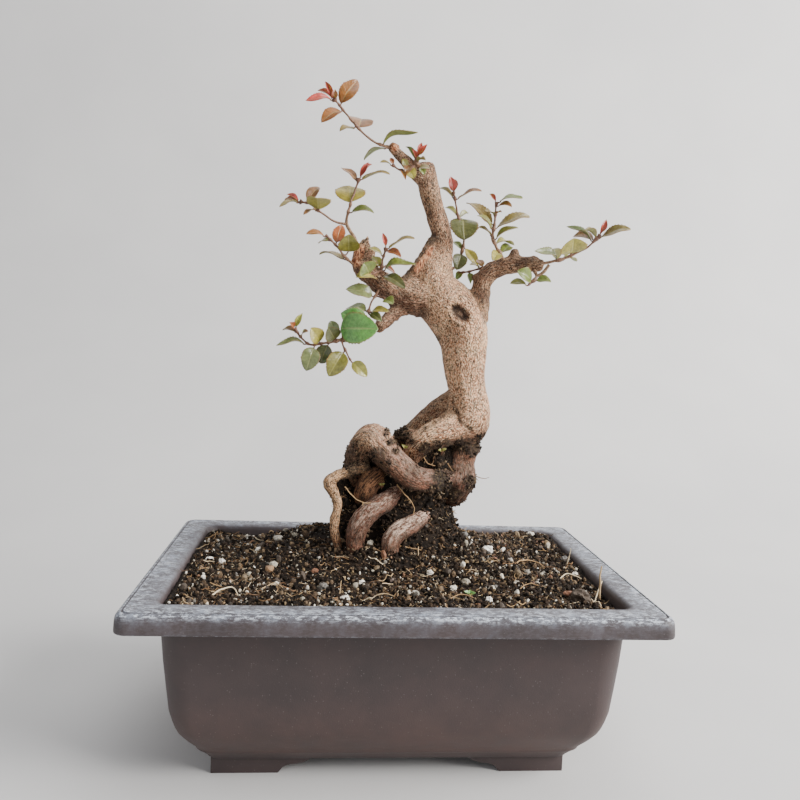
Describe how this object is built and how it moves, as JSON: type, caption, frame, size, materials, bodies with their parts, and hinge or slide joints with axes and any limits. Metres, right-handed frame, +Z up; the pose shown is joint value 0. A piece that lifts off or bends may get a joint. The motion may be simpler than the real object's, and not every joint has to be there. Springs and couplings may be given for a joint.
{
  "type": "potted bonsai tree",
  "caption": "Small sageretia bonsai with a pale crooked trunk, coiled bare roots and sparse leafy twigs, growing in a rectangular moulded plastic pot full of gritty soil.",
  "frame": {"origin": "middle of the pot's footprint, on the plane that its four feet stand on", "axes": "+Z up the trunk, +X along the pot's long side to the right as seen from the front, +Y to the back"},
  "size_m": [0.205, 0.147, 0.2844],
  "materials": {
    "pot_plastic": "matte moulded plastic, dusty, with a chalky worn rim",
    "soil": "loose dark peat with mixed grit",
    "bark": "finely flecked bark, reddish brown on the roots",
    "foliage": "satin leaves from olive green to orange brown, with red buds"
  },
  "bodies": {
    "root": {"pot": "pot_plastic", "soil": "soil", "trunk_and_roots": "bark", "apex_shoot": "foliage", "stub_shoot": "foliage", "stub_side_shoot": "foliage", "left_upper_shoot": "foliage", "left_middle_shoot": "foliage", "limb_shoot": "foliage", "hanging_shoot": "foliage", "low_left_shoot": "foliage", "back_shoot": "foliage", "back_low_shoot": "foliage", "branch_shoot": "foliage", "tip_shoot": "foliage", "tip_low_shoot": "foliage"}
  },
  "joints": []
}
